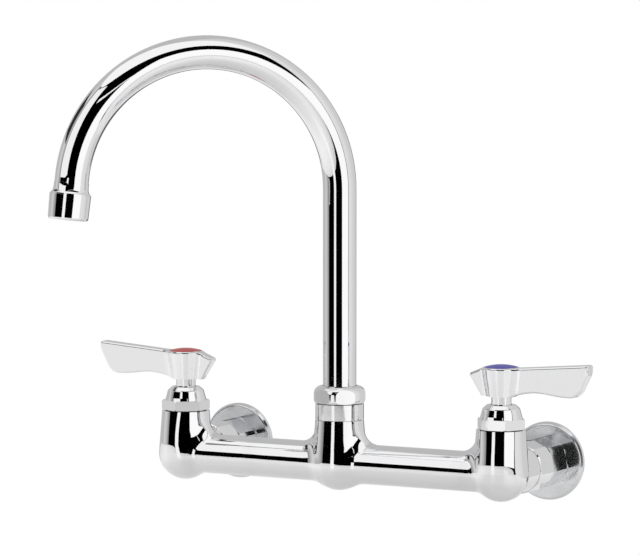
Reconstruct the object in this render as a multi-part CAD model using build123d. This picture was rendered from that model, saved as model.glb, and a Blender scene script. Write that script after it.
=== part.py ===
from build123d import *
import os
from math import acos, atan2, cos, hypot, pi, radians, sin

# Wall-mounted kitchen faucet on 8 inch centres: a cast body with two quarter-turn
# ceramic valves, lever handles and a rigid swivelling gooseneck spout.
#
# Frame: the wall is the plane y = 0 and the faucet stands out of it towards -Y.
# +Z is up, +X is towards the cold side. The origin is midway between the inlets,
# on the wall. Sizes are in millimetres and angles in degrees.

# ---------------------------------------------------------------- overall layout
INLET_CENTRES = 203.2        # hot to cold, 8 inches
BODY_STANDOFF = 64.4         # wall to the axis of the bar and the valves
SPOUT_TURNED = 46.15         # spout at rest, turned to the hot side from straight out

# ---------------------------------------------------------------- clearances
SLIP = 0.05                  # radial, between pieces screwed or pushed together
RUN = 0.08                   # radial, round a piece that turns in its bore
AIR = 0.3                    # round a moving piece that only passes by
SEAT = 0.2                   # end gap at a face that doesn't carry
SEAM = 0.4                   # dark line left between a nut and the casting under it

# ---------------------------------------------------------------- cast body
BAR_D = 22.6
BAR_BORE_D = 11.0
BALL_D = 31.5                # round foot of each barrel, on the bar's axis
BARREL_TOP_D = 27.8
BARREL_TOP = 24.8            # height of the three barrel rims over the bar's axis
SWELL_D = 30.6               # the bar swells to this under the spout's barrel
SWELL_REACH = 17.0           # either side of it
SWELL_BEND = 0.37            # share of that reach where the swell turns from hollow to full
BAR_FILLET = 10.5
NECK_D = 27.0
NECK_LENGTH = 23.4           # valve axis to the seam with the coupling nut

# ---------------------------------------------------------------- inlet coupling
NECK_THREAD_D = 22.7
NECK_NOSE = 33.4             # valve axis to the end of the threaded neck
NECK_BORE_D = 15.0
NECK_BORE_START = 14.4       # leaves a wall between the neck's bore and the valve's
FEED_DROP = 8.2              # the feed runs this far under the axis, below the valve seat
FEED_BORE_D = 8.0
INLET_WASHER_T = 2.0
COLLAR_T = 2.2
TAILPIECE_D = 17.2
TAILPIECE_BORE_D = 12.0
TAILPIECE_ENTRY = 7.4        # how far the tailpiece screws into the inlet fitting
NUT_AF = 27.4
NUT_TURNED_D = 28.5
NUT_END = 40.5               # valve axis to the wall end of the nut
FITTING_AF = 25.4
FITTING_TURNED_D = 28.0
FITTING_CHAMFER = 1.3
FITTING_SPIGOT_D = 24.8
PIPE_THREAD_D = 21.3         # 1/2-14 NPT female, drawn at the pipe's outside diameter
PIPE_THREAD_DEPTH = 14.0
FLANGE_D = 45.0
FLANGE_FACE_D = 42.4
FLANGE_T = 3.6
FLANGE_RIM_T = 1.6
FLANGE_ROUND = 0.9
NUT_TURNS = {"hot": -14.0, "cold": 22.0}
FITTING_TURNS = {"hot": -25.0, "cold": 18.5}

# ---------------------------------------------------------------- valve cartridge
VALVE_SEAT = -3.0            # seat ledge, from the bar's axis
VALVE_BORE_D = 18.6
VALVE_LEDGE = 12.0           # ledge that carries the cartridge's flange
BONNET_THREAD_D = 21.8
HOUSING_FLANGE_T = 2.0
HOUSING_BORE_D = 14.6
WINDOW_HEIGHT = 5.0
WINDOW_WIDTH = 8.0
SEAL_T = 2.0
DISC_T = 3.0
DISC_BORE_D = 9.6
PORT_INNER_D = 4.2
PORT_OUTER_D = 11.6
PORT_ANGLE = 72.0
TONGUE_WIDTH = 3.0
TONGUE_DEPTH = 1.2
STEM_D = 11.4
STEM_FLANGE_T = 3.0
THRUST_WASHER_T = 0.6
O_RING_WIRE_D = 1.6
O_RING_SHOW = 0.04           # how far an O-ring stands out of its shaft
CLIP_T = 1.0
CLIP_D = 15.2
CLIP_GROOVE_D = 9.4
CLIP_MOUTH = 8.0
CLIP_POCKET_D = 16.4

# ---------------------------------------------------------------- bonnet
GASKET_T = 0.4
GASKET_D = 24.0
BONNET_HEX_AF = 24.4
BONNET_HEX_TURNED_D = 28.1
BONNET_HEX_TOP = 30.9
BONNET_CONE_FOOT_D = 24.0
BONNET_CONE_D = 20.9         # where the top rounding starts
BONNET_CONE_TOP = 36.6
BONNET_TOP = 38.8
BONNET_FACE_D = 15.8
BONNET_ROUND = 1.2
HEX_CHAMFER = 0.7
BONNET_TURNS = {"hot": 34.0, "cold": 4.5}   # how the flats face when screwed home

# ---------------------------------------------------------------- lever handle
HANDLE_BOTTOM = 43.3
HANDLE_TOP = 59.7
HUB_FOOT_D = 15.2
HUB_HEAD_D = 20.5
LEVER_AJAR = 2.5             # degrees that the levers stand open at rest, as in the photo
BLADE_REACH = 54.9
BLADE_TIP_RISE = 3.8         # the tip's top edge over the hub's top
TIP_UPRIGHT = 5.0            # the tip falls straight by this before it slants back
TIP_SLANT = 6.4              # its lower corner, before rounding, back from its top edge
TIP_HEEL = 13.2              # the lowest part of the blade, back from the same edge
TIP_BEND = 10.0
TIP_ROUND = 8.5
BLADE_BELLY = 1.4            # height of that part over the hub's foot
BLADE_WAIST_OUT = 23.3
BLADE_WAIST = 3.0            # the slimmest part's underside, over the hub's foot
TAIL_REACH = 19.1
TAIL_DROP = 4.2              # the tail's end under the hub's top
TAIL_FOOT = 11.7
BLADE_TOP_T = 8.2
BLADE_FOOT_T = 5.0
BLADE_BLEND = 10.0           # hollow between hub and blade
TAIL_BLEND = 6.0
EDGE_ROUND = 1.2
BLANK_SPARE = 8.0            # the blanks run past both ends by this before trimming
DRIVE_D = 8.8
DRIVE_FLAT = 7.4
DRIVE_LENGTH = 9.0
SOCKET_DEPTH = 1.6
WEB_T = 2.0
SCREW_D = 4.0
SCREW_HEAD_D = 7.6
SCREW_HEAD_T = 1.9
SCREW_LENGTH = 9.0
SCREW_SLOT = 1.0
BUTTON_D = 18.8
BUTTON_EDGE_T = 1.2
BUTTON_DOME = 1.4

# ---------------------------------------------------------------- spout and its swivel
TUBE_D = 19.05               # 3/4 inch
TUBE_WALL = 1.15
ARCH_RADIUS = 77.5
ARCH_CENTRE = 156.4          # height of the arch's centre
ARCH_TURN = 174.0
OUTLET_RUN = 9.1             # straight stretch after the arch
SLEEVE_UNDER = 0.05          # the sleeve's diameter under the tube's
SLEEVE_WALL = 2.025          # of its spigot in the tube
SLEEVE_FOOT = 13.0
TUBE_ENTRY = 9.5             # how far the sleeve's spigot reaches up the tube
HUB_BORE_FLOOR = -8.0
HUB_LEDGE = 1.9              # the ledge under the sleeve's foot
SPIGOT_TOP = 32.4
SWIVEL_RING_T = 1.0
SHOULDER_PROUD = 1.975       # the shoulder that carries the spout, round the tube
SPIGOT_PROUD = 0.7           # the hub's threaded spigot, round that shoulder
SHOULDER_T = 2.6
SPOUT_NUT_SKIRT_WALL = 1.7   # walls of the nut round the spigot's thread
SPOUT_NUT_HEX_WALL = 1.55
SPOUT_NUT_CORNER = 1.1       # how far its turned corners stand out past its flats
SPOUT_NUT_HEX_FOOT = 34.1
SPOUT_NUT_TOP = 44.3
SPOUT_NUT_ROUND = 4.8
SPOUT_NUT_FOOT_ROUND = 2.4
SPOUT_NUT_TURN = 42.0

# ---------------------------------------------------------------- outlet and aerator
FERRULE_PROUD = 1.6          # how far the ferrule stands out round the tube
FERRULE_SLEEVE = 6.5         # its reach up the tube, hollowed to a thin edge
FERRULE_EDGE_T = 0.15
FERRULE_LIP_T = 0.6
FERRULE_THREAD_WALL = 1.6
FERRULE_THREAD_LENGTH = 6.4
AERATOR_PROUD = 0.5          # how far the aerator stands out round the ferrule
AERATOR_TAPER = 0.35         # its radius lost towards the mouth
AERATOR_LENGTH = 14.3
AERATOR_LIP = 1.7            # its inward lip, radial
AERATOR_ROUND = 1.5
AERATOR_LIP_T = 1.6
WASHER_T = 1.6
SCREEN_T = 0.6
SCREEN_HOLE_D = 0.9
SCREEN_PITCH = 1.7
INSERT_HOLE_D = 1.3
INSERT_PITCH = 2.3

X_VALVE = INLET_CENTRES / 2
TUBE_BORE_D = TUBE_D - 2 * TUBE_WALL
SLEEVE_D = TUBE_D - SLEEVE_UNDER
SLEEVE_BORE_D = TUBE_BORE_D - 2 * SLIP - 2 * SLEEVE_WALL
HUB_FEED_D = SLEEVE_D - 2 * HUB_LEDGE
SHOULDER_D = TUBE_D + 2 * SHOULDER_PROUD
SPIGOT_D = SHOULDER_D + 2 * SPIGOT_PROUD
VALVE_AXES = {"hot": -X_VALVE, "cold": X_VALVE}
VALVE_TURNS = {"hot": 180.0, "cold": 0.0}    # where the levers point when shut
OPENING = {"hot": 1, "cold": -1}             # sense of turning that opens each valve
HANDLE_TURNS = {side: VALVE_TURNS[side] + OPENING[side] * LEVER_AJAR for side in VALVE_AXES}
BASE = (Align.CENTER, Align.CENTER, Align.MIN)
O_RING_GROOVE = O_RING_WIRE_D - O_RING_SHOW


# ---------------------------------------------------------------- helpers
def rod(diameter, low, high):
    """A round bar on the Z axis from one height to another."""
    return Pos(0, 0, low) * Cylinder(diameter / 2, high - low, align=BASE)


def ring(outer, inner, low, high):
    return rod(outer, low, high) - rod(inner, low - 1, high + 1)


def hexagon(across_flats, low, high):
    """A hexagonal bar on the Z axis with flats facing +Y and -Y."""
    face = RegularPolygon(across_flats / 2, 6, major_radius=False)
    return extrude(Pos(0, 0, low) * face, high - low)


def spun(*points):
    """The solid swept by an outline of (radius, height) points round the Z axis."""
    outline = Polyline(*[(r, 0, z) for r, z in points], close=True)
    return revolve(make_face(outline), Axis.Z)


def turned_hexagon(across_flats, turned_d, low, high, turn, bevels):
    """A hexagon whose corners are turned off, bevelled by so much below and above."""
    blank = rod(turned_d, low, high)
    rims = blank.edges().filter_by(GeomType.CIRCLE).sort_by(Axis.Z)
    for rim, bevel in zip(rims, bevels):
        blank = chamfer(blank.edges().filter_by_position(Axis.Z, rim.center().Z, rim.center().Z), bevel)
    return blank & Rot(0, 0, turn) * hexagon(across_flats, low - 1, high + 1)


def o_ring(shaft_d, height):
    """A round rubber ring that sits in its groove in a shaft of that diameter."""
    radius = shaft_d / 2 - O_RING_GROOVE + O_RING_WIRE_D / 2
    wire = Plane.XZ * Pos(radius, height) * Circle(O_RING_WIRE_D / 2)
    return revolve(wire, Axis.Z)


def o_ring_groove(shaft_d, height):
    """The cut for that ring, centred on the same height."""
    half = O_RING_WIRE_D * 0.6
    return ring(shaft_d + 1, shaft_d - 2 * O_RING_GROOVE, height - half, height + half)


def on_valve(side, shape):
    """Carries a shape drawn about the Z axis to a valve's axis."""
    return Pos(VALVE_AXES[side], -BODY_STANDOFF, 0) * shape


def on_inlet(side, shape):
    """Turns a shape drawn about Z to run from a valve's axis to the wall."""
    return Pos(VALVE_AXES[side], -BODY_STANDOFF, 0) * Rot(-90, 0, 0) * shape


def on_spout(shape):
    """Carries a shape drawn about the Z axis, arch towards -X, to the swivel."""
    return Pos(0, -BODY_STANDOFF, 0) * Rot(0, 0, 90 - SPOUT_TURNED) * shape


def save(name, *solids):
    shape = solids[0] if len(solids) == 1 else Compound(children=list(solids))
    export_step(shape, f"parts/{name}.step")


# ---------------------------------------------------------------- cast body
def barrel():
    """A ball-footed barrel whose drafted wall leaves the ball tangentially."""
    ball = BALL_D / 2
    top = BARREL_TOP_D / 2
    reach = hypot(top, BARREL_TOP)
    lift = atan2(BARREL_TOP, top) - acos(ball / reach)
    leaves = (ball * cos(lift), 0, ball * sin(lift))
    half = (lift - pi / 2) / 2
    foot = ThreePointArc((0, 0, -ball), (ball * cos(half), 0, ball * sin(half)), leaves)
    wall = Polyline(leaves, (top, 0, BARREL_TOP), (0, 0, BARREL_TOP), (0, 0, -ball))
    return revolve(make_face([foot, wall]), Axis.Z)


def swelled_bar():
    """The bar on the X axis, swelling smoothly to a crown in its middle."""
    end, radius = INLET_CENTRES / 2, BAR_D / 2
    lift = SWELL_D / 2 - radius
    bend = (SWELL_REACH * (1 - SWELL_BEND), radius + lift * SWELL_BEND)
    hollows = [TangentArc((side * SWELL_REACH, radius), (side * bend[0], bend[1]), tangent=(-side, 0))
               for side in (-1, 1)]
    crown = ThreePointArc((-bend[0], bend[1]), (0, SWELL_D / 2), bend)
    rest = Polyline((SWELL_REACH, radius), (end, radius), (end, 0), (-end, 0), (-end, radius),
                    (-SWELL_REACH, radius))
    return revolve(make_face([*hollows, crown, rest]), Axis.X)


def casting():
    """The outer skin of the body, blended where the bar meets the barrels."""
    bar = Pos(0, -BODY_STANDOFF, 0) * swelled_bar()
    barrels = [on_valve(side, barrel()) for side in VALVE_AXES]
    barrels.append(Pos(0, -BODY_STANDOFF, 0) * barrel())
    skin = bar + barrels
    joints = skin.edges().filter_by(lambda edge: is_bar_joint(edge))
    skin = fillet(joints, BAR_FILLET)
    necks = [on_inlet(side, rod(NECK_D, 0, NECK_LENGTH)) for side in VALVE_AXES]
    return skin + necks


def is_bar_joint(edge):
    """True for the curves where the bar runs into a barrel."""
    centre = edge.center()
    beside = min(abs(abs(centre.X) - X_VALVE), abs(centre.X))
    return BAR_D / 4 < beside < BALL_D and edge.length > BAR_D / 2 and centre.Z < BARREL_TOP - 1


def body():
    shape = casting()
    for side in VALVE_AXES:
        shape += on_inlet(side, rod(NECK_THREAD_D, 0, NECK_NOSE))
    shape += Pos(0, -BODY_STANDOFF, 0) * rod(SPIGOT_D, 0, SPIGOT_TOP)
    for side, x in VALVE_AXES.items():
        inward = -1 if x > 0 else 1
        shape -= on_valve(side, rod(BONNET_THREAD_D, VALVE_LEDGE, BARREL_TOP + 1))
        shape -= on_valve(side, rod(VALVE_BORE_D, VALVE_SEAT, VALVE_LEDGE + 1))
        shape -= on_valve(side, rod(DISC_BORE_D, -FEED_DROP, VALVE_SEAT + 1))
        shape -= on_inlet(side, rod(NECK_BORE_D, NECK_BORE_START, NECK_NOSE + 1))
        feed = rod(FEED_BORE_D, 0, NECK_BORE_START + 2)
        shape -= on_inlet(side, Pos(0, FEED_DROP, 0) * feed)
        start = x + inward * VALVE_BORE_D / 2 * 0.9
        shape -= Pos(min(0, start), -BODY_STANDOFF, 0) * Rot(0, 90, 0) * rod(BAR_BORE_D, 0, abs(start))
    bore = SLEEVE_D + 2 * RUN
    shape -= Pos(0, -BODY_STANDOFF, 0) * rod(bore, SLEEVE_FOOT - SEAT, SPIGOT_TOP + 1)
    shape -= Pos(0, -BODY_STANDOFF, 0) * rod(HUB_FEED_D, HUB_BORE_FLOOR, SPIGOT_TOP)
    return shape


# ---------------------------------------------------------------- inlets
WASHER_END = NECK_NOSE + INLET_WASHER_T
COLLAR_END = WASHER_END + COLLAR_T
FITTING_LOW = NUT_END + AIR
FLANGE_FRONT = BODY_STANDOFF - FLANGE_T
TAILPIECE_END = FITTING_LOW + TAILPIECE_ENTRY


def inlet_nut(turn):
    """The coupling nut, over the threaded neck and behind the tailpiece's collar."""
    nut = turned_hexagon(NUT_AF, NUT_TURNED_D, NECK_LENGTH + SEAT, NUT_END, turn, (HEX_CHAMFER, HEX_CHAMFER))
    nut -= rod(NECK_THREAD_D + 2 * SLIP, 0, COLLAR_END)
    return nut - rod(TAILPIECE_D + 2 * AIR, 0, NUT_END + 1)


def tailpiece():
    """The threaded tube that the nut pulls against the neck by its collar."""
    tube = rod(TAILPIECE_D, WASHER_END, TAILPIECE_END)
    tube += rod(NECK_THREAD_D - 2 * SLIP, WASHER_END, COLLAR_END)
    return tube - rod(TAILPIECE_BORE_D, 0, TAILPIECE_END + 1)


def inlet_fitting(turn):
    """A hexagon that takes the tailpiece in front and the supply pipe behind."""
    shape = turned_hexagon(FITTING_AF, FITTING_TURNED_D, FITTING_LOW, FLANGE_FRONT, turn,
                           (HEX_CHAMFER, FITTING_CHAMFER))
    shape += rod(FITTING_SPIGOT_D, FITTING_LOW + HEX_CHAMFER, BODY_STANDOFF)
    shape -= rod(TAILPIECE_D + 2 * SLIP, 0, TAILPIECE_END + SEAT)
    shape -= rod(TAILPIECE_BORE_D, 0, BODY_STANDOFF + 1)
    return shape - rod(PIPE_THREAD_D, BODY_STANDOFF - PIPE_THREAD_DEPTH, BODY_STANDOFF + 1)


def wall_flange():
    """A round plate with a rounded front edge, flat against the wall."""
    shoulder = BODY_STANDOFF - FLANGE_RIM_T
    plate = spun((0, FLANGE_FRONT), (FLANGE_FACE_D / 2, FLANGE_FRONT), (FLANGE_D / 2, shoulder),
                 (FLANGE_D / 2, BODY_STANDOFF), (0, BODY_STANDOFF))
    front_edges = plate.edges().filter_by(GeomType.CIRCLE).sort_by(Axis.Z)[:2]
    plate = fillet(front_edges, FLANGE_ROUND)
    return plate - rod(FITTING_SPIGOT_D + 2 * SLIP, 0, BODY_STANDOFF + 1)


def make_inlet(side):
    save(f"{side}_inlet_nut", on_inlet(side, inlet_nut(NUT_TURNS[side])))
    save(f"{side}_tailpiece", on_inlet(side, tailpiece()))
    save(f"{side}_inlet_fitting", on_inlet(side, inlet_fitting(FITTING_TURNS[side])))
    save(f"{side}_wall_flange", on_inlet(side, wall_flange()))
    washer = ring(NECK_THREAD_D - 2 * SLIP, TAILPIECE_BORE_D, NECK_NOSE, WASHER_END)
    save(f"{side}_inlet_washer", on_inlet(side, washer))


# ---------------------------------------------------------------- valve
FIXED_DISC_LOW = VALVE_SEAT + SEAL_T
MOVING_DISC_LOW = FIXED_DISC_LOW + DISC_T
STEM_LOW = MOVING_DISC_LOW + DISC_T
STEM_FLANGE_TOP = STEM_LOW + STEM_FLANGE_T
HOUSING_CEILING = STEM_FLANGE_TOP + THRUST_WASHER_T
HOUSING_TOP = VALVE_LEDGE + HOUSING_FLANGE_T
DISC_D = HOUSING_BORE_D - 2 * RUN
CLIP_LOW = HOUSING_TOP + SEAT
STEM_O_RINGS = (HOUSING_CEILING + O_RING_WIRE_D, HOUSING_TOP - O_RING_WIRE_D)
HOUSING_D = VALVE_BORE_D - 2 * SLIP
HOUSING_O_RING = VALVE_LEDGE - O_RING_WIRE_D
BONNET_FOOT = BARREL_TOP + GASKET_T


def sectors(outer_d, turn):
    """A cutter with two opposite sectors, for the waterways of a ceramic disc."""
    half = radians(PORT_ANGLE / 2)
    far = 2 * outer_d
    corners = [(0, 0), (far * cos(half), far * sin(half)), (far * cos(half), -far * sin(half))]
    wedge = make_face(Polyline(*corners, close=True))
    both = Circle(outer_d / 2) & (wedge + Rot(0, 0, 180) * wedge)
    return Rot(0, 0, turn) * extrude(both - Circle(PORT_INNER_D / 2), DISC_T, both=True)


def fixed_disc():
    disc = rod(DISC_D, FIXED_DISC_LOW, MOVING_DISC_LOW)
    return disc - Pos(0, 0, MOVING_DISC_LOW) * sectors(PORT_OUTER_D, 90)


def rotating_disc():
    """Open to its rim on two sides, so that water leaves through the housing's windows."""
    disc = rod(DISC_D, MOVING_DISC_LOW, STEM_LOW) - Pos(0, 0, STEM_LOW) * sectors(DISC_D + 1, 0)
    slot = Box(TONGUE_WIDTH + 2 * SLIP, DISC_D + 1, 2 * TONGUE_DEPTH)
    return disc - Pos(0, 0, STEM_LOW) * slot


def valve_stem():
    """Drive flange, round shaft with its ring grooves, and a flatted end for the handle."""
    shoulder = HANDLE_BOTTOM + SOCKET_DEPTH
    stem = rod(DISC_D, STEM_LOW, STEM_FLANGE_TOP) + rod(STEM_D, STEM_LOW, shoulder)
    tongue = Box(TONGUE_WIDTH, DISC_D, TONGUE_DEPTH - SLIP, align=(Align.CENTER, Align.CENTER, Align.MAX))
    stem += (Pos(0, 0, STEM_LOW) * tongue) & rod(DISC_D, 0, STEM_LOW)
    drive = rod(DRIVE_D, STEM_LOW, shoulder + DRIVE_LENGTH)
    stem += drive & Pos(0, 0, shoulder) * Box(DRIVE_FLAT, DRIVE_D, 2 * DRIVE_LENGTH + 1)
    for height in STEM_O_RINGS:
        stem -= o_ring_groove(STEM_D, height)
    stem -= ring(STEM_D + 1, CLIP_GROOVE_D, CLIP_LOW, CLIP_LOW + CLIP_T)
    return stem - rod(SCREW_D + 2 * SLIP, shoulder, shoulder + DRIVE_LENGTH + 1)


def cartridge_housing():
    shell = rod(HOUSING_D, VALVE_SEAT + SEAT, VALVE_LEDGE)
    shell += rod(BONNET_THREAD_D - 2 * SLIP, VALVE_LEDGE, HOUSING_TOP)
    shell -= rod(HOUSING_BORE_D, VALVE_SEAT, HOUSING_CEILING)
    shell -= rod(STEM_D + 2 * RUN, VALVE_SEAT, HOUSING_TOP + 1)
    shell -= o_ring_groove(HOUSING_D, HOUSING_O_RING)
    window = Box(VALVE_BORE_D + 2, WINDOW_WIDTH, WINDOW_HEIGHT)
    return shell - Pos(0, 0, MOVING_DISC_LOW + WINDOW_HEIGHT / 2) * window


def stem_clip():
    clip = ring(CLIP_D, CLIP_GROOVE_D + 2 * SLIP, CLIP_LOW, CLIP_LOW + CLIP_T - SLIP)
    mouth = Box(CLIP_D, CLIP_MOUTH, 4 * CLIP_T, align=(Align.MIN, Align.CENTER, Align.CENTER))
    return clip - Pos(CLIP_GROOVE_D / 4, 0, CLIP_LOW) * mouth


def bonnet(turn):
    """Hexagon and cone over the valve, with the thread that holds the cartridge down."""
    shape = turned_hexagon(BONNET_HEX_AF, BONNET_HEX_TURNED_D, BONNET_FOOT, BONNET_HEX_TOP, turn,
                           (HEX_CHAMFER, HEX_CHAMFER))
    cone = spun((0, BONNET_FOOT + 1), (BONNET_CONE_FOOT_D / 2, BONNET_FOOT + 1),
                (BONNET_CONE_FOOT_D / 2, BONNET_HEX_TOP), (BONNET_CONE_D / 2, BONNET_CONE_TOP),
                (BONNET_FACE_D / 2, BONNET_TOP), (0, BONNET_TOP))
    crown = cone.edges().filter_by(GeomType.CIRCLE).sort_by(Axis.Z)[-2:]
    shape += fillet(crown, BONNET_ROUND)
    shape += rod(BONNET_THREAD_D - 2 * SLIP, HOUSING_TOP, BONNET_FOOT + 1)
    shape -= rod(STEM_D + 2 * AIR, 0, BONNET_TOP + 1)
    return shape - rod(CLIP_POCKET_D, HOUSING_TOP - 1, CLIP_LOW + 2 * CLIP_T)


def make_valve(side):
    """The fixed pieces face as the valve is built, the moving ones as the lever stands."""
    fixed = lambda shape: on_valve(side, Rot(0, 0, VALVE_TURNS[side]) * shape)
    moving = lambda shape: on_valve(side, Rot(0, 0, HANDLE_TURNS[side]) * shape)
    save(f"{side}_cartridge_housing", fixed(cartridge_housing()))
    save(f"{side}_fixed_disc", fixed(fixed_disc()))
    save(f"{side}_rotating_disc", moving(rotating_disc()))
    save(f"{side}_valve_stem", moving(valve_stem()))
    save(f"{side}_stem_clip", moving(stem_clip()))
    save(f"{side}_stem_o_rings", *[moving(o_ring(STEM_D, z)) for z in STEM_O_RINGS])
    washer = ring(DISC_D, STEM_D + 2 * SLIP, STEM_FLANGE_TOP, HOUSING_CEILING - SLIP)
    save(f"{side}_thrust_washer", fixed(washer))
    seal = ring(HOUSING_BORE_D - 2 * SLIP, DISC_BORE_D, VALVE_SEAT, FIXED_DISC_LOW)
    save(f"{side}_seat_seal", fixed(seal))
    save(f"{side}_housing_o_ring", fixed(o_ring(HOUSING_D, HOUSING_O_RING)))
    gasket = ring(GASKET_D, BONNET_THREAD_D, BARREL_TOP, BONNET_FOOT)
    save(f"{side}_bonnet_gasket", fixed(gasket))
    save(f"{side}_bonnet", on_valve(side, bonnet(BONNET_TURNS[side])))


# ---------------------------------------------------------------- handle
BUTTON_SEAT = HANDLE_TOP - BUTTON_EDGE_T
WEB_LOW = HANDLE_BOTTOM + SOCKET_DEPTH + DRIVE_LENGTH + SEAT
WEB_TOP = WEB_LOW + WEB_T
TIP_TOP = HANDLE_TOP + BLADE_TIP_RISE
TALL = (HANDLE_BOTTOM - BLANK_SPARE, HANDLE_TOP + BLANK_SPARE)


def lever_side():
    """The lever's side view: long top edge, slanted round-cornered tip, hollow waist, short tail."""
    tip = (BLADE_REACH, TIP_TOP)
    belly = HANDLE_BOTTOM + BLADE_BELLY
    heel = (BLADE_REACH - TIP_HEEL, belly)
    corner = (BLADE_REACH - TIP_SLANT, belly)
    foot = (HUB_FOOT_D / 2, HANDLE_BOTTOM)
    waist = (BLADE_WAIST_OUT, HANDLE_BOTTOM + BLADE_WAIST)
    under = Spline(heel, waist, foot, tangents=[(-1, 0), (-1, -0.4)])
    tail_end = (-TAIL_REACH, HANDLE_TOP - TAIL_DROP)
    hub_rim = (EDGE_ROUND - HUB_HEAD_D / 2, HANDLE_TOP)
    bend = (BLADE_REACH, TIP_TOP - TIP_UPRIGHT)
    end = Polyline(tip, bend, corner, heel)
    rest = Polyline(foot, (-TAIL_FOOT, HANDLE_BOTTOM), tail_end, hub_rim, (HUB_HEAD_D / 2, HANDLE_TOP), tip)
    side = make_face([end, under, rest])
    side = fillet(side.vertices().sort_by_distance((*corner, 0))[0], TIP_ROUND)
    return fillet(side.vertices().sort_by_distance((*bend, 0))[0], TIP_BEND)


def tall_blade():
    """A slab along X, thicker at the top by its draft."""
    draft = (BLADE_TOP_T - BLADE_FOOT_T) / (TIP_TOP - HANDLE_BOTTOM) / 2
    foot, head = [BLADE_FOOT_T / 2 + draft * (z - HANDLE_BOTTOM) for z in TALL]
    section = Polyline((-foot, TALL[0]), (foot, TALL[0]), (head, TALL[1]), (-head, TALL[1]), close=True)
    return extrude(Plane.YZ * make_face(section), 2 * BLADE_REACH, both=True)


def tall_hub():
    draft = (HUB_HEAD_D - HUB_FOOT_D) / (HANDLE_TOP - HANDLE_BOTTOM) / 2
    foot, head = [HUB_FOOT_D / 2 + draft * (z - HANDLE_BOTTOM) for z in TALL]
    return spun((0, TALL[0]), (foot, TALL[0]), (head, TALL[1]), (0, TALL[1]))


def is_hub_corner(edge):
    """True for the four upright curves where blade and tail leave the hub."""
    return edge.bounding_box().size.Z > HANDLE_TOP - HANDLE_BOTTOM and abs(edge.center().X) < HUB_HEAD_D


def handle_blank():
    """Hub and lever in one casting, blended together and rounded on its edges."""
    blank = tall_hub() + tall_blade()
    corners = blank.edges().filter_by(is_hub_corner)
    blank = fillet(corners.filter_by(lambda edge: edge.center().X > 0), BLADE_BLEND)
    corners = blank.edges().filter_by(is_hub_corner)
    blank = fillet(corners.filter_by(lambda edge: edge.center().X < -HUB_HEAD_D / 4), TAIL_BLEND)
    blank &= extrude(Plane.XZ * lever_side(), HUB_HEAD_D, both=True)
    return fillet(blank.edges().filter_by(lambda edge: edge.center().Z > HANDLE_BOTTOM + SLIP), EDGE_ROUND)


def handle():
    shape = handle_blank()
    shape -= rod(STEM_D + 2 * AIR, HANDLE_BOTTOM - 1, HANDLE_BOTTOM + SOCKET_DEPTH)
    key = Box(DRIVE_FLAT + 2 * SLIP, DRIVE_D + 1, 4 * DRIVE_LENGTH)
    shape -= rod(DRIVE_D + 2 * SLIP, HANDLE_BOTTOM, WEB_LOW) & Pos(0, 0, HANDLE_BOTTOM) * key
    shape -= rod(SCREW_D + 2 * AIR, WEB_LOW - 1, WEB_TOP + 1)
    shape -= rod(SCREW_HEAD_D + 2 * AIR, WEB_TOP, HANDLE_TOP + 1)
    return shape - rod(BUTTON_D + 2 * SLIP, BUTTON_SEAT, HANDLE_TOP + 1)


def handle_screw():
    low = WEB_TOP - SCREW_LENGTH
    screw = rod(SCREW_D, low, WEB_TOP) + rod(SCREW_HEAD_D, WEB_TOP, WEB_TOP + SCREW_HEAD_T)
    screw = fillet(screw.edges().sort_by(Axis.Z)[-1], SCREW_HEAD_T / 2)
    for turn in (0, 90):
        cross = Box(SCREW_HEAD_D * 0.6, SCREW_SLOT, SCREW_HEAD_T)
        screw -= Pos(0, 0, WEB_TOP + SCREW_HEAD_T) * Rot(0, 0, turn) * cross
    return screw


def index_button():
    """A thin domed disc, a cap of a large ball on a short cylinder."""
    radius = BUTTON_D / 2
    ball = (radius ** 2 + BUTTON_DOME ** 2) / (2 * BUTTON_DOME)
    dome = Pos(0, 0, HANDLE_TOP + BUTTON_DOME - ball) * Sphere(ball)
    return rod(BUTTON_D, BUTTON_SEAT, HANDLE_TOP + BUTTON_DOME) & dome


def make_handle(side):
    place = lambda shape: on_valve(side, Rot(0, 0, HANDLE_TURNS[side]) * shape)
    save(f"{side}_handle", place(handle()))
    save(f"{side}_handle_screw", place(handle_screw()))
    save(f"{side}_index_button", place(index_button()))


# ---------------------------------------------------------------- spout
SPOUT_NUT_SKIRT_D = SPIGOT_D + 2 * SPOUT_NUT_SKIRT_WALL
SPOUT_NUT_HEX_AF = SPIGOT_D + 2 * SPOUT_NUT_HEX_WALL
SPOUT_NUT_TURNED_D = SPOUT_NUT_HEX_AF + 2 * SPOUT_NUT_CORNER
SHOULDER_LOW = SPIGOT_TOP + SWIVEL_RING_T
SHOULDER_TOP = SHOULDER_LOW + SHOULDER_T
NUT_CEILING = SHOULDER_TOP + SWIVEL_RING_T + SEAT
SLEEVE_O_RINGS = (SLEEVE_FOOT + 4.0, SLEEVE_FOOT + 10.0)


def tube_path():
    """Up the riser, over the arch towards -X and a short way down."""
    end = radians(ARCH_TURN)
    half = end / 2
    arch = lambda a: (-ARCH_RADIUS * (1 - cos(a)), 0, ARCH_CENTRE + ARCH_RADIUS * sin(a))
    foot = (0, 0, SHOULDER_TOP)
    last = arch(end)
    outlet = (last[0] - OUTLET_RUN * sin(end), 0, last[2] + OUTLET_RUN * cos(end))
    return Line(foot, arch(0)) + ThreePointArc(arch(0), arch(half), last) + Line(last, outlet)


def spout_tube():
    path = tube_path()
    section = Pos(0, 0, SHOULDER_TOP) * (Circle(TUBE_D / 2) - Circle(TUBE_BORE_D / 2))
    return sweep(section, path)


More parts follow.
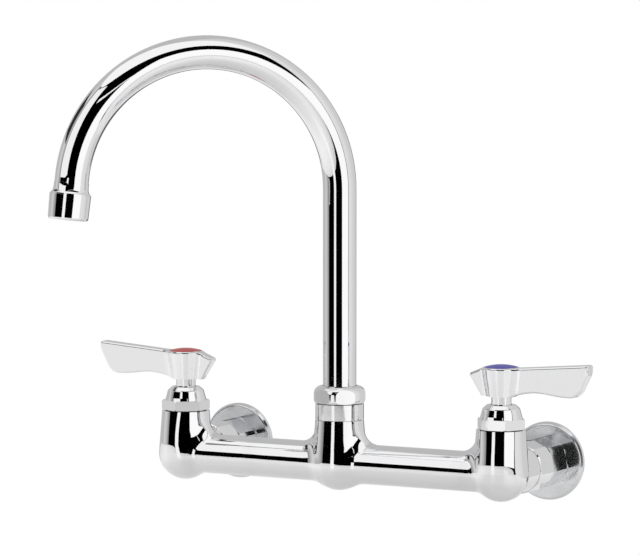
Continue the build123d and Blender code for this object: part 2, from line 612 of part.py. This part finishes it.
def spout_sleeve():
    """The brazed foot of the tube: a spigot up the tube, a shoulder and two ring grooves."""
    sleeve = rod(SLEEVE_D, SLEEVE_FOOT, SHOULDER_TOP) + rod(SHOULDER_D, SHOULDER_LOW, SHOULDER_TOP)
    sleeve += rod(TUBE_BORE_D - 2 * SLIP, SHOULDER_LOW, SHOULDER_TOP + TUBE_ENTRY)
    for height in SLEEVE_O_RINGS:
        sleeve -= o_ring_groove(SLEEVE_D, height)
    return sleeve - rod(SLEEVE_BORE_D, SLEEVE_FOOT - 1, SHOULDER_TOP + TUBE_ENTRY + 1)


def spout_nut():
    """Round skirt over the threaded spigot, hexagon with turned corners above."""
    foot = BARREL_TOP + SEAM
    turned = rod(SPOUT_NUT_TURNED_D, SPOUT_NUT_HEX_FOOT, SPOUT_NUT_TOP)
    turned = fillet(turned.edges().sort_by(Axis.Z)[-1], SPOUT_NUT_ROUND)
    turned = fillet(turned.edges().sort_by(Axis.Z)[0], SPOUT_NUT_FOOT_ROUND)
    turned &= Rot(0, 0, SPOUT_NUT_TURN) * hexagon(SPOUT_NUT_HEX_AF, foot, SPOUT_NUT_TOP + 1)
    nut = turned + rod(SPOUT_NUT_SKIRT_D, foot, SPOUT_NUT_HEX_FOOT)
    nut -= rod(SPIGOT_D + 2 * SLIP, foot - 1, NUT_CEILING)
    return nut - rod(TUBE_D + 2 * AIR, foot, SPOUT_NUT_TOP + 1)


# ---------------------------------------------------------------- outlet
FERRULE_D = TUBE_D + 2 * FERRULE_PROUD
FERRULE_THREAD_D = TUBE_BORE_D + 2 * FERRULE_THREAD_WALL
AERATOR_D = FERRULE_D + 2 * AERATOR_PROUD
AERATOR_BORE_D = FERRULE_THREAD_D + 2 * SLIP
AERATOR_MOUTH_D = AERATOR_BORE_D - 2 * AERATOR_LIP
AERATOR_LEDGE = FERRULE_THREAD_LENGTH + WASHER_T + SCREEN_T


def outlet_place():
    """The tube's end, with local +Z running out of the outlet."""
    end = radians(ARCH_TURN)
    x = -ARCH_RADIUS * (1 - cos(end)) - OUTLET_RUN * sin(end)
    z = ARCH_CENTRE + ARCH_RADIUS * sin(end) + OUTLET_RUN * cos(end)
    return Location(Plane((x, 0, z), x_dir=(0, 1, 0), z_dir=(-sin(end), 0, cos(end))))


def outlet_ferrule():
    """A brazed collar, hollowed from a thin edge to its lip, and the thread for the aerator."""
    inside = TUBE_D / 2 + SLIP
    edge = (inside + FERRULE_EDGE_T, 0, -FERRULE_SLEEVE)
    lip = (FERRULE_D / 2, 0, -FERRULE_LIP_T)
    hollow = Spline(edge, lip, tangents=[(0, 0, 1), (1, 0, 0.6)])
    rest = Polyline(lip, (FERRULE_D / 2, 0, 0), (inside, 0, 0), (inside, 0, -FERRULE_SLEEVE), edge)
    collar = revolve(make_face([hollow, rest]), Axis.Z)
    thread = ring(FERRULE_THREAD_D, TUBE_BORE_D, 0, FERRULE_THREAD_LENGTH)
    return collar + thread


def aerator_shell():
    mouth = AERATOR_D / 2 - AERATOR_TAPER
    outside = spun((0, SLIP), (AERATOR_D / 2, SLIP), (mouth, AERATOR_LENGTH), (0, AERATOR_LENGTH))
    rims = outside.edges().filter_by(GeomType.CIRCLE)
    outside = fillet(rims.sort_by(Axis.Z)[-1], AERATOR_ROUND)
    outside -= rod(AERATOR_BORE_D, 0, AERATOR_LENGTH - AERATOR_LIP_T)
    return outside - rod(AERATOR_MOUTH_D, 0, AERATOR_LENGTH + 1)


def pierced(low, high, hole_d, pitch):
    """A plug that fills the aerator, drilled on a square grid inside its mouth."""
    count = int(AERATOR_MOUTH_D / 2 / pitch)
    steps = [pitch * index for index in range(-count, count + 1)]
    reach = AERATOR_MOUTH_D / 2 - hole_d
    holes = [Pos(x, y, 0) * rod(hole_d, low - 1, high + 1) for x in steps for y in steps if hypot(x, y) < reach]
    return rod(FERRULE_THREAD_D - 2 * SLIP, low, high) - holes


def make_outlet():
    place = on_spout(outlet_place())
    washer = ring(FERRULE_THREAD_D - 2 * SLIP, TUBE_BORE_D, FERRULE_THREAD_LENGTH,
                  FERRULE_THREAD_LENGTH + WASHER_T)
    save("outlet_ferrule", place * outlet_ferrule())
    save("aerator_shell", place * aerator_shell())
    save("aerator_washer", place * washer)
    screen = pierced(AERATOR_LEDGE - SCREEN_T, AERATOR_LEDGE, SCREEN_HOLE_D, SCREEN_PITCH)
    save("aerator_screen", place * screen)
    insert = pierced(AERATOR_LEDGE, AERATOR_LENGTH - AERATOR_LIP_T, INSERT_HOLE_D, INSERT_PITCH)
    save("aerator_insert", place * insert)


def make_spout():
    save("spout_tube", on_spout(spout_tube()))
    save("spout_sleeve", on_spout(spout_sleeve()))
    save("spout_o_rings", *[on_spout(o_ring(SLEEVE_D, z)) for z in SLEEVE_O_RINGS])
    lower = ring(SHOULDER_D, SLEEVE_D + 2 * SLIP, SPIGOT_TOP, SHOULDER_LOW)
    upper = ring(SHOULDER_D, TUBE_D + 2 * AIR, SHOULDER_TOP, SHOULDER_TOP + SWIVEL_RING_T)
    save("spout_lower_ring", on_spout(lower))
    save("spout_upper_ring", on_spout(upper))
    save("spout_nut", Pos(0, -BODY_STANDOFF, 0) * spout_nut())


os.makedirs("parts", exist_ok=True)
save("faucet_body", body())
for valve in VALVE_AXES:
    make_inlet(valve)
    make_valve(valve)
    make_handle(valve)
make_spout()
make_outlet()
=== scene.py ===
from math import cos, pi, radians, sin

import bpy
import numpy as np
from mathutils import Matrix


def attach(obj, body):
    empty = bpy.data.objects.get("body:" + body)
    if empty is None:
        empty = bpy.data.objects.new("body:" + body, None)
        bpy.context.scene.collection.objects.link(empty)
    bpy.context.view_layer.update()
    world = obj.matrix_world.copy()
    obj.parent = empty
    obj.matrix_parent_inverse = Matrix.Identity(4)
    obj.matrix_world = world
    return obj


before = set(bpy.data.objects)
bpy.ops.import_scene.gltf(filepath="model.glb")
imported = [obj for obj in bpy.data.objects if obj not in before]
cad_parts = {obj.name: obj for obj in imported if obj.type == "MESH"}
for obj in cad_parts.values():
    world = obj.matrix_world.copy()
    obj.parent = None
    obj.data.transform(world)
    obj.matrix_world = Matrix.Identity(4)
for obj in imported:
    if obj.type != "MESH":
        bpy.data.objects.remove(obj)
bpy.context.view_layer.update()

# ---------------------------------------------------------------- places, in metres
INLET_X = 0.1016             # hot and cold axes either side of the middle
AXIS_Y = -0.0644             # valve and riser axes in front of the wall
BARREL_RIM = 0.02485         # top of the plated casting; its threads stand above this
CONE_FOOT = 0.0325           # where the bonnets' cones begin
BARREL_SWELLS = (            # middle in x, its reach to the side, and how full it is
    (-INLET_X - 0.0070, 0.015, 0.0010),
    (INLET_X + 0.0040, 0.019, 0.0012),
)
SWELL_CORE = 0.003           # half the width of each swell's full middle
SWELL_FOOT = (-0.003, 0.007)       # heights over which a swell grows, then fades
SWELL_HEAD = (0.010, 0.034)
SWELL_FRONT = 0.004          # it is gone on the axis and full this far in front of it
THREAD_RADIUS = 0.01063      # the inlets' pipe thread: 21.3 mm across, 14 turns an inch
THREAD_DEPTH = 0.00105
THREAD_PITCH = 0.0254 / 14
THREAD_SPAN = (-0.0138, -0.0003)   # from its inner end out to the wall plane
THREAD_RUN_IN = 0.0009       # each end's ramp: the inner end's, then the mouth's
THREAD_RUN_OUT = 0.0016
THREAD_ROOT_WALL = 0.00008
THREAD_SLOPE = 1.3           # steeper than 1, so that the crest is flat
THREAD_ROOT_FLAT = 0.15      # and a part of each turn is root

# ---------------------------------------------------------------- the photograph's view
CAMERA_TURN = 28.14          # degrees, from straight in front towards the cold side
CAMERA_RISE = 4.29
CAMERA_DISTANCE = 1.9754
CAMERA_RIGHT = -0.04155
CAMERA_UP = 0.10136
CAMERA_LENS = 189.0

# ---------------------------------------------------------------- studio
# Directions are degrees round the riser, 0 straight in front and 90 on the cold side.
WHITE = (1.0, 1.0, 1.0, 1.0)
PLAIN_LIGHT = 0.85           # the world's level for everything but mirrored rays
TABLE_TOP = -0.18            # the faucet hangs over it, as it would on its wall
TABLE_REACH = 1.98
# Its straight-cut sides: direction and distance.
TABLE_SIDES = ((118.0, 0.743), (180.0, 0.60), (-78.0, 1.72))
# Painted shade and light: the paper's tone is darker under the faucet and lighter further out.
PAPER_SHADED_NEAR = (0.65, 0.65, 0.64, 1.0)     # straight under the faucet
PAPER_LIT_FAR = (0.97, 0.97, 0.97, 1.0)
PAPER_SHADE_SPREAD = (0.0, 0.75)   # from the near, shaded tone to the far one over these distances
PAPER_ROUGHNESS = 0.35
PAPER_LIFT = 0.46            # added for the camera: white paper that keeps its shadow
CEILING_HEIGHT = 1.03        # the soft box overhead, a sector of a disc
CEILING_REACH = 0.80
CEILING_SECTOR = (-95.0, 100.0)
CEILING_LIGHT = 1.06
KEY_LAMP = {"place": (-0.9, -1.3, 1.6), "aim": (0.0, -0.06, 0.08), "size": 0.9, "watts": 14.0}
# Upright cards in metres: both ends as (direction, distance, foot, head), then the light.
CARDS = {
    "left_soft_box": ((-52.0, 0.77, 0.215, 0.93), (-10.5, 0.80, 0.225, 0.93), 1.02),
    "right_soft_box": ((44.8, 1.20, -0.09, 0.62), (88.5, 0.78, -0.105, 0.52), 1.13),
    "gap_between_flags": ((-10.7, 1.0, -0.30, 0.205), (3.2, 1.0, -0.30, 0.205), 1.05),
    "flag_edge": ((4.0, 0.80, 0.595, 0.635), (44.0, 0.80, 0.295, 0.315), 1.0),
    "small_flag": ((-92.0, 0.45, 0.28, 0.44), (-62.0, 0.45, 0.28, 0.44), 0.03),
}
# What the metal mirrors past the cards. 1 is white, and heights are sines of elevation.
FRONT = (-51.0, 92.0)        # black between these directions
HOT_WALL = 0.56
HOT_STRIP = (-87.0, -74.0)   # lighter between these
HOT_STRIP_GAIN = 0.16
HOT_EDGE = (-68.0, -56.0)    # darkens over these, towards the front
HOT_EDGE_LOSS = 0.24
COLD_WALL = 0.85
COLD_BACK = (105.0, 150.0)   # darkens over these, towards the back
COLD_BACK_LOSS = 0.15
# Behind: the directions over which each darkness comes and goes, and its top edge.
GAP_SIDES = ((177.0, 179.0), (-162.0, -158.0))
GAP_TOP = (0.15, 0.22)
GAP_LOSS = 0.6
PIT_SIDES = ((160.0, 168.0), (-118.0, -108.0))
PIT_TOP = (-0.19, -0.15)
PIT_LOSS = 0.75
SLIT = (-167.0, -162.0)      # bright, inside the pit


class Shade:
    """A socket of a shader tree. Sums and products of it add Math nodes."""

    def __init__(self, tree, socket=None):
        self.tree = tree
        self.socket = socket

    def node(self, kind, inputs=None, out=0, **settings):
        """Adds a node with its settings, then its sockets' values or links."""
        made = self.tree.nodes.new("ShaderNode" + kind)
        for name, value in settings.items():
            setattr(made, name, value)
        for name, value in (inputs or {}).items():
            if isinstance(value, Shade):
                self.tree.links.new(value.socket, made.inputs[name])
            else:
                made.inputs[name].default_value = value
        return Shade(self.tree, made.outputs[out] if made.outputs else None)

    def math(self, operation, *values):
        return self.node("Math", dict(enumerate(values)), operation=operation)

    def __add__(self, other):
        return self.math("ADD", self, other)

    __radd__ = __add__

    def __sub__(self, other):
        return self.math("SUBTRACT", self, other)

    def __rsub__(self, other):
        return self.math("SUBTRACT", other, self)

    def __mul__(self, other):
        return self.math("MULTIPLY", self, other)

    __rmul__ = __mul__

    def rise(self, low, high):
        """0 below low, 1 above high, a smooth step between."""
        return self.node("MapRange", {"Value": self, "From Min": low, "From Max": high},
                         interpolation_type="SMOOTHSTEP")

    def window(self, low, high, soft):
        """1 between low and high, falling to 0 over soft on both sides."""
        return self.rise(low - soft, low + soft) * (1 - self.rise(high - soft, high + soft))


def new_tree(owner):
    owner.use_nodes = True
    owner.node_tree.nodes.clear()
    return Shade(owner.node_tree)


# ---------------------------------------------------------------- materials
def noise(tree, scale, detail=3.0, stretch=(1.0, 1.0, 1.0)):
    """Noise on Object coordinates, scale in features per metre."""
    place = tree.node("TexCoord", out=3)
    turned = tree.node("Mapping", {"Vector": place, "Scale": stretch})
    return tree.node("TexNoise", {"Vector": turned, "Scale": scale, "Detail": detail})


def mix_colour(tree, mask, first, second):
    return tree.node("Mix", {0: mask, 6: first, 7: second}, out=2, data_type="RGBA")


def bump(tree, height, distance):
    return tree.node("Bump", {"Height": height, "Strength": 1.0, "Distance": distance})


def finish_material(material, tree, sockets):
    surface = tree.node("BsdfPrincipled", sockets)
    tree.node("OutputMaterial", {"Surface": surface})
    return material


def barrel_swells(tree, place):
    """A faint fullness low on the front of the valve barrels, left by the polishing, in metres."""
    x, y, z = [tree.node("SeparateXYZ", {0: place}, out=axis) for axis in range(3)]
    sides = sum((1 - tree.math("ABSOLUTE", x - middle).rise(SWELL_CORE, reach)) * height
                for middle, reach, height in BARREL_SWELLS)
    belly = z.rise(*SWELL_FOOT) * (1 - z.rise(*SWELL_HEAD))
    return sides * belly * (1 - y.rise(AXIS_Y - SWELL_FRONT, AXIS_Y))


def chrome(name, wave, wave_scale, colour=(0.85, 0.85, 0.86, 1.0), smudge=0.035, rough=0.02,
           cast=False, taper=0.0, taper_from=0.0):
    """Plated casting or turning: mirror with a faint swell, smears and hairline wear.

    On the cast body the barrels swell a little, and the threads above their rims are bare, with a
    near-black colour painted on them as shade.
    A turning may widen by taper millimetres a millimetre above the height taper_from.
    """
    material = bpy.data.materials.new(name)
    tree = new_tree(material)
    swell = noise(tree, wave_scale, 2.0)
    smears = noise(tree, 45.0, 4.0, (1.0, 1.0, 0.35))
    grain = noise(tree, 900.0, 2.0)
    dulled = tuple(0.93 * channel for channel in colour[:3]) + (1.0,)
    tint = mix_colour(tree, smears.rise(0.55, 0.8), colour, dulled)
    dull = rough + smears.rise(0.45, 0.8) * smudge + grain * 0.012
    height = swell * wave
    if cast:
        place = tree.node("TexCoord", out=3)
        # Painted shade: the bare threads above the rims get a near-black brown, far darker than bare
        # brass, and rougher.
        bare_and_shaded = tree.node("SeparateXYZ", {0: place}, out=2).rise(BARREL_RIM, BARREL_RIM + 0.0001)
        tint = mix_colour(tree, bare_and_shaded, tint, (0.10, 0.075, 0.04, 1.0))
        dull = dull + bare_and_shaded * 0.4
        height = height + barrel_swells(tree, place)
    if taper:
        up = tree.node("SeparateXYZ", {0: tree.node("TexCoord", out=3)}, out=2)
        height = height + tree.math("MAXIMUM", up - taper_from, 0.0) * taper
    return finish_material(material, tree, {
        "Base Color": tint, "Metallic": 1.0, "Roughness": dull, "Normal": bump(tree, height, 1.0)})


def plain_metal(name, colour, roughness, grain_scale, stretch=(1.0, 1.0, 1.0)):
    """Machined metal with fine tool grain and a little tarnish."""
    material = bpy.data.materials.new(name)
    tree = new_tree(material)
    grain = noise(tree, grain_scale, 3.0, stretch)
    stain = noise(tree, 160.0, 4.0)
    dark = tuple(0.72 * channel for channel in colour[:3]) + (1.0,)
    return finish_material(material, tree, {
        "Base Color": mix_colour(tree, stain.rise(0.45, 0.75), colour, dark), "Metallic": 1.0,
        "Roughness": roughness + grain * 0.15, "Normal": bump(tree, grain, 0.00002)})


def moulded(name, colour, roughness, texture_scale, depth, coat=0.0):
    """Plastic, rubber or ceramic with a fine moulded skin and slight unevenness of tone."""
    material = bpy.data.materials.new(name)
    tree = new_tree(material)
    skin = noise(tree, texture_scale, 3.0)
    cloud = noise(tree, 120.0, 3.0)
    deep = tuple(0.86 * channel for channel in colour[:3]) + (1.0,)
    return finish_material(material, tree, {
        "Base Color": mix_colour(tree, cloud, colour, deep), "Roughness": roughness + skin * 0.08,
        "Coat Weight": coat, "Normal": bump(tree, skin, depth)})


CASTING = chrome("polished_casting", 0.00022, 38.0, cast=True)
TURNED = chrome("polished_turning", 0.00004, 60.0)
STEM = chrome("turned_stem", 0.00006, 90.0, smudge=0.05, rough=0.06, taper=0.03)
BONNET = chrome("turned_bonnet", 0.00005, 60.0, taper=0.16, taper_from=CONE_FOOT)
TUBING = chrome("polished_tube", 0.00003, 30.0, smudge=0.015, rough=0.01)
LEVER = chrome("polished_lever", 0.00010, 55.0)
SATIN = chrome("satin_turning", 0.00005, 90.0, (0.78, 0.785, 0.80, 1.0), 0.09, 0.12)
BRASS = plain_metal("machined_brass", (0.66, 0.46, 0.17, 1.0), 0.28, 2500.0, (1.0, 1.0, 8.0))
STEEL = plain_metal("brushed_steel", (0.55, 0.55, 0.56, 1.0), 0.3, 3000.0, (1.0, 6.0, 1.0))
RUBBER = moulded("black_rubber", (0.015, 0.015, 0.016, 1.0), 0.55, 2600.0, 0.00002)
NYLON = moulded("white_nylon", (0.74, 0.74, 0.71, 1.0), 0.42, 1800.0, 0.00001)
CERAMIC = moulded("lapped_ceramic", (0.80, 0.78, 0.73, 1.0), 0.12, 3500.0, 0.000004)
RED = moulded("red_index_plastic", (0.42, 0.030, 0.026, 1.0), 0.30, 700.0, 0.00001)
BLUE = moulded("blue_index_plastic", (0.045, 0.038, 0.34, 1.0), 0.30, 700.0, 0.00001)

FINISHES = {
    "faucet_body": CASTING, "spout_tube": TUBING, "spout_nut": TURNED, "outlet_ferrule": TURNED,
    "aerator_shell": TURNED, "spout_sleeve": BRASS, "spout_o_rings": RUBBER, "spout_lower_ring": NYLON,
    "spout_upper_ring": NYLON, "aerator_washer": RUBBER, "aerator_screen": STEEL, "aerator_insert": NYLON,
    "inlet_nut": TURNED, "inlet_fitting": SATIN, "wall_flange": SATIN, "tailpiece": BRASS,
    "inlet_washer": RUBBER, "cartridge_housing": BRASS, "fixed_disc": CERAMIC, "rotating_disc": CERAMIC,
    "valve_stem": STEM, "stem_clip": STEEL, "thrust_washer": NYLON, "seat_seal": RUBBER,
    "stem_o_rings": RUBBER, "housing_o_ring": RUBBER, "bonnet_gasket": RUBBER, "bonnet": BONNET,
    "handle": LEVER, "handle_screw": STEEL, "hot_index_button": RED, "cold_index_button": BLUE,
}


def dress_nodes():
    """Gives each CAD node its finish, by its whole name or by its name without the side."""
    for name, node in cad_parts.items():
        kind = name.replace("hot_", "").replace("cold_", "")
        finish = FINISHES.get(name) or FINISHES[kind]
        node.data.materials.clear()
        node.data.materials.append(finish)


def mesh_object(name, points, faces, material):
    """An object at the origin with its place in its mesh."""
    mesh = bpy.data.meshes.new(name)
    mesh.from_pydata(np.asarray(points).tolist(), [], faces)
    mesh.materials.append(material)
    made = bpy.data.objects.new(name, mesh)
    bpy.context.collection.objects.link(made)
    return made


# ---------------------------------------------------------------- pipe threads
def make_pipe_threads():
    """The helical thread in each inlet's mouth, a shell round the inlet's axis.

    At turn t and depth y its inner face has the radius R - d * ramp(y) * ridge(y / pitch - t / 2 pi),
    where ridge rises and falls once a pitch with flats at crest and root, and ramp is 0 at both ends.
    The outer face is the plain cylinder R, and both grids close into one ring.
    """
    turns, steps = 72, 96
    t = np.linspace(0.0, 2 * pi, turns, endpoint=False)[:, None]
    y = np.linspace(*THREAD_SPAN, steps)[None, :]
    phase = (y / THREAD_PITCH - t / (2 * pi)) % 1.0
    ridge = np.clip(THREAD_SLOPE * (1 - np.abs(2 * phase - 1)) - THREAD_ROOT_FLAT, 0.0, 1.0)
    start, end = THREAD_SPAN
    ramp = np.clip((end - y) / THREAD_RUN_OUT, 0.0, 1.0) * np.clip((y - start) / THREAD_RUN_IN, 0.0, 1.0)
    inner = THREAD_RADIUS - THREAD_ROOT_WALL - THREAD_DEPTH * ramp * ridge
    radius = np.hstack([inner, np.full((turns, 2), THREAD_RADIUS)])
    depth = np.broadcast_to(np.hstack([y[0], end, start]), radius.shape)
    index = np.arange(radius.size).reshape(radius.shape)
    along, onward = np.roll(index, -1, axis=1), np.roll(index, -1, axis=0)
    quads = np.stack([index, onward, np.roll(along, -1, axis=0), along], axis=-1).reshape(-1, 4)
    for side, middle in (("hot", -INLET_X), ("cold", INLET_X)):
        points = np.stack([middle + radius * np.cos(t), depth, radius * np.sin(t)], axis=-1).reshape(-1, 3)
        piece = mesh_object(f"{side}_pipe_thread", points, quads.tolist(), BRASS)
        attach(piece, "body")


# ---------------------------------------------------------------- studio
def paper_material():
    """Satin paper that looks white to the camera and like lit paper in the metal. Its tone is painted
    darker under the faucet as shade and lighter further out as painted light.
    """
    material = bpy.data.materials.new("table_paper")
    tree = new_tree(material)
    place = tree.node("TexCoord", out=3)
    x, y = [tree.node("SeparateXYZ", {0: place}, out=axis) for axis in range(2)]
    off = y - AXIS_Y
    away = tree.math("SQRT", x * x + off * off)
    # Painted shade: darker paper near the faucet, fading to lighter paper further out.
    painted_shade_tone = mix_colour(tree, away.rise(*PAPER_SHADE_SPREAD), PAPER_SHADED_NEAR, PAPER_LIT_FAR)
    lit = tree.node("BsdfPrincipled", {"Base Color": painted_shade_tone, "Roughness": PAPER_ROUGHNESS})
    lift = tree.node("Emission", {"Color": WHITE, "Strength": PAPER_LIFT})
    white = tree.node("AddShader", {0: lit, 1: lift})
    seen = tree.node("LightPath", out="Is Camera Ray")
    surface = tree.node("MixShader", {0: seen, 1: lit, 2: white})
    tree.node("OutputMaterial", {"Surface": surface})
    return material


def around(direction, distance):
    """The place at a direction and distance from the riser's axis."""
    angle = np.radians(direction)
    return distance * np.sin(angle), AXIS_Y - distance * np.cos(angle)


def make_table():
    """A paper disc with straight-cut sides: rings from the outline's reach down to the middle."""
    rings, steps = 12, 144
    direction = np.linspace(0.0, 360.0, steps, endpoint=False)
    reach = np.full(steps, TABLE_REACH)
    for side, distance in TABLE_SIDES:
        reach = np.minimum(reach, distance / np.maximum(np.cos(np.radians(direction - side)), 0.01))
    shares = np.linspace(0.0, 1.0, rings + 1)[1:]
    x, y = around(direction, np.outer(shares, reach))
    points = np.column_stack([x.ravel(), y.ravel(), np.full(x.size, TABLE_TOP)])
    points = np.vstack([points, [0.0, AXIS_Y, TABLE_TOP]])
    inner = np.arange((rings - 1) * steps).reshape(rings - 1, steps)
    nxt = np.roll(inner, -1, axis=1)
    quads = np.stack([inner, nxt, nxt + steps, inner + steps], axis=-1).reshape(-1, 4).tolist()
    hub = [[len(points) - 1, (k + 1) % steps, k] for k in range(steps)]
    table = mesh_object("table", points, [face[::-1] for face in quads + hub], paper_material())


def reflected_card(name, points, light):
    """A flat panel of even light that shows only in the metal."""
    material = bpy.data.materials.new(name)
    tree = new_tree(material)
    glow = tree.node("Emission", {"Color": WHITE, "Strength": light})
    tree.node("OutputMaterial", {"Surface": glow})
    card = mesh_object(name, points, [list(range(len(points)))], material)
    card.visible_camera = False
    card.visible_diffuse = False
    card.visible_shadow = False
    card.visible_transmission = False


def make_cards():
    """The upright cards, and the overhead box as a fan from the axis out to its arc."""
    for name, (first, second, light) in CARDS.items():
        ends = [(*around(direction, distance), foot, head)
                for direction, distance, foot, head in (first, second)]
        (x1, y1, foot1, head1), (x2, y2, foot2, head2) = ends
        reflected_card(name, [(x1, y1, foot1), (x2, y2, foot2), (x2, y2, head2), (x1, y1, head1)], light)
    x, y = around(np.linspace(*CEILING_SECTOR, 40), CEILING_REACH)
    arc = [(float(px), float(py), CEILING_HEIGHT) for px, py in zip(x, y)]
    reflected_card("overhead_soft_box", [(0.0, AXIS_Y, CEILING_HEIGHT)] + arc, CEILING_LIGHT)


def behind(turn, height, sides, top):
    """1 across the back between both sides and under the top, fading over each pair."""
    come, go = sides
    return (turn.rise(*come) + (1 - turn.rise(*go))) * (1 - height.rise(*top))


def studio_world():
    """White to the camera, plain to rough surfaces, and in the metal:

    front is black, the hot side's wall has one lighter strip and one darker one, the cold side's
    wall dims towards the back, and behind lie a narrow gap just over the horizon and a wide dark
    pit under it with one bright slit.
    """
    world = bpy.data.worlds.new("studio")
    bpy.context.scene.world = world
    tree = new_tree(world)
    along = tree.node("TexCoord")
    x, y, z = [tree.node("SeparateXYZ", {0: along}, out=axis) for axis in range(3)]
    turn = tree.math("ARCTAN2", x, -1 * y) * (180 / pi)
    strip = turn.window(*HOT_STRIP, soft=5.0)
    hot_wall = HOT_WALL + HOT_STRIP_GAIN * strip - HOT_EDGE_LOSS * turn.rise(*HOT_EDGE)
    cold_wall = COLD_WALL - COLD_BACK_LOSS * turn.rise(*COLD_BACK)
    walls = hot_wall + turn.rise(0.0, 1.0) * (cold_wall - hot_wall)
    front = turn.window(*FRONT, soft=0.8)
    gap = GAP_LOSS * behind(turn, z, GAP_SIDES, GAP_TOP)
    pit = PIT_LOSS * behind(turn, z, PIT_SIDES, PIT_TOP) * (1 - turn.window(*SLIT, soft=0.6))
    level = walls * (1 - front) * (1 - gap) * (1 - pit)
    camera = tree.node("LightPath", out="Is Camera Ray")
    shiny = tree.node("LightPath", out="Is Glossy Ray")
    strength = camera + (1 - camera) * (shiny * level + (1 - shiny) * PLAIN_LIGHT)
    background = tree.node("Background", {"Color": WHITE, "Strength": strength})
    tree.node("OutputWorld", {"Surface": background})


def soft_lamp(name, place, aim, size, watts):
    """A large square lamp, turned to its aim, that isn't itself seen in the metal."""
    lamp = bpy.data.lights.new(name, "AREA")
    lamp.shape = "SQUARE"
    lamp.size = size
    lamp.energy = watts
    body = bpy.data.objects.new(name, lamp)
    bpy.context.collection.objects.link(body)
    way = np.array(aim) - np.array(place)
    tilt = np.arctan2(way[2], np.hypot(way[0], way[1]))
    turn = np.arctan2(-way[0], way[1])
    body.location = place
    body.rotation_euler = (float(pi / 2 + tilt), 0.0, float(turn))
    body.visible_glossy = False
    body.visible_camera = False


def make_camera():
    """Stands back along its turn and rise, moved sideways and up in its own plane."""
    turn, rise = radians(CAMERA_TURN), radians(CAMERA_RISE)
    back = np.array([sin(turn) * cos(rise), -cos(turn) * cos(rise), sin(rise)])
    right = np.array([cos(turn), sin(turn), 0.0])
    up = np.cross(back, right)
    place = CAMERA_DISTANCE * back + CAMERA_RIGHT * right + CAMERA_UP * up
    camera = bpy.data.cameras.new("camera")
    camera.lens = CAMERA_LENS
    camera.sensor_width = 36.0
    camera.sensor_fit = "HORIZONTAL"
    body = bpy.data.objects.new("camera", camera)
    body.location = place
    body.rotation_euler = (pi / 2 - rise, 0.0, turn)
    bpy.context.collection.objects.link(body)
    bpy.context.scene.camera = body


dress_nodes()
make_pipe_threads()
make_table()
make_cards()
studio_world()
soft_lamp("key", **KEY_LAMP)
make_camera()
bpy.context.scene.view_settings.view_transform = "Standard"
